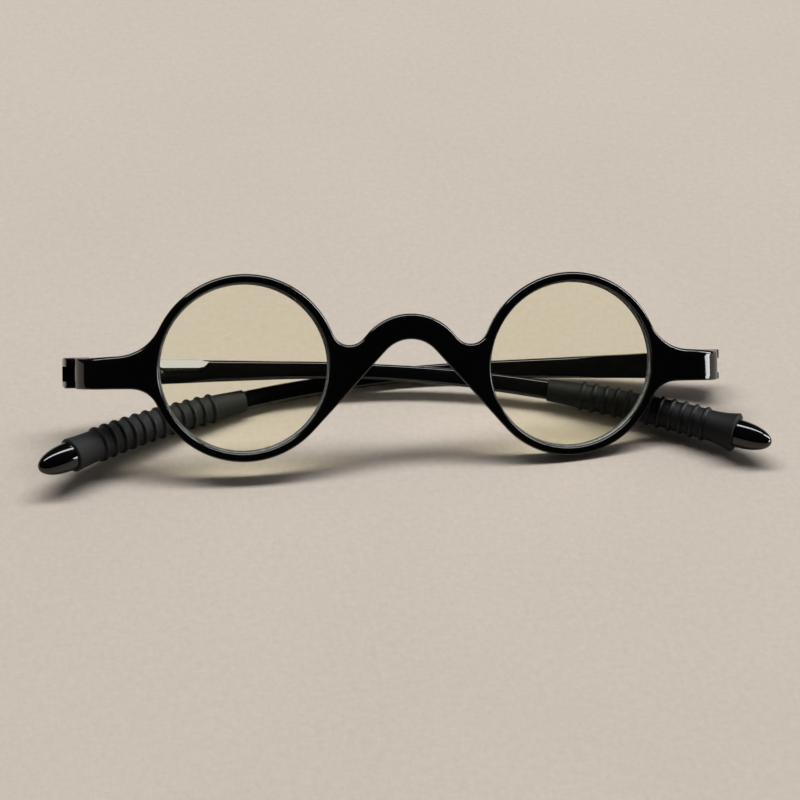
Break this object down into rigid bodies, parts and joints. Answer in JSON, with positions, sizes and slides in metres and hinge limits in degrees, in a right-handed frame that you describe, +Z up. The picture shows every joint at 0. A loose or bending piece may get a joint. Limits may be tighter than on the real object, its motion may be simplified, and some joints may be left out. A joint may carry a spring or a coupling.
{
  "type": "reading glasses",
  "caption": "Folding round-lens reading glasses with a saddle bridge, forked hinges and ribbed rubber sleeves on the temple ends.",
  "frame": {"origin": "centre of the bounding box's footprint, on the table the folded glasses lie on", "axes": "+Z up from the table, +X along the front from the viewer's left to the viewer's right, +Y away from the viewer, towards the folded temples"},
  "size_m": [0.1378, 0.0324, 0.0338],
  "materials": {
    "frame_black": "gloss",
    "temple_black": "gloss",
    "lens_clear": "clear, polished, as acrylic lenses are",
    "sleeve_rubber": "matte",
    "screw_steel": "satin"
  },
  "bodies": {
    "front_frame": {"front": "frame_black", "lens_left": "lens_clear", "lens_right": "lens_clear"},
    "temple_left_arm": {"temple_left": "temple_black", "sleeve_left": "sleeve_rubber", "hinge_screw_left": "screw_steel"},
    "temple_right_arm": {"temple_right": "temple_black", "sleeve_right": "sleeve_rubber", "hinge_screw_right": "screw_steel"}
  },
  "joints": [
    {"name": "temple_left_hinge", "type": "hinge", "parent": "front_frame", "child": "temple_left_arm", "pos_m": [-0.05874, 0.00723, 0.0127], "axis": [0.0427, 0.6136, 0.7885], "range_deg": [0, 86.8]},
    {"name": "temple_right_hinge", "type": "hinge", "parent": "front_frame", "child": "temple_right_arm", "pos_m": [0.05928, 0.00723, 0.00631], "axis": [-0.0427, -0.6136, -0.7885], "range_deg": [0, 83.2]}
  ]
}
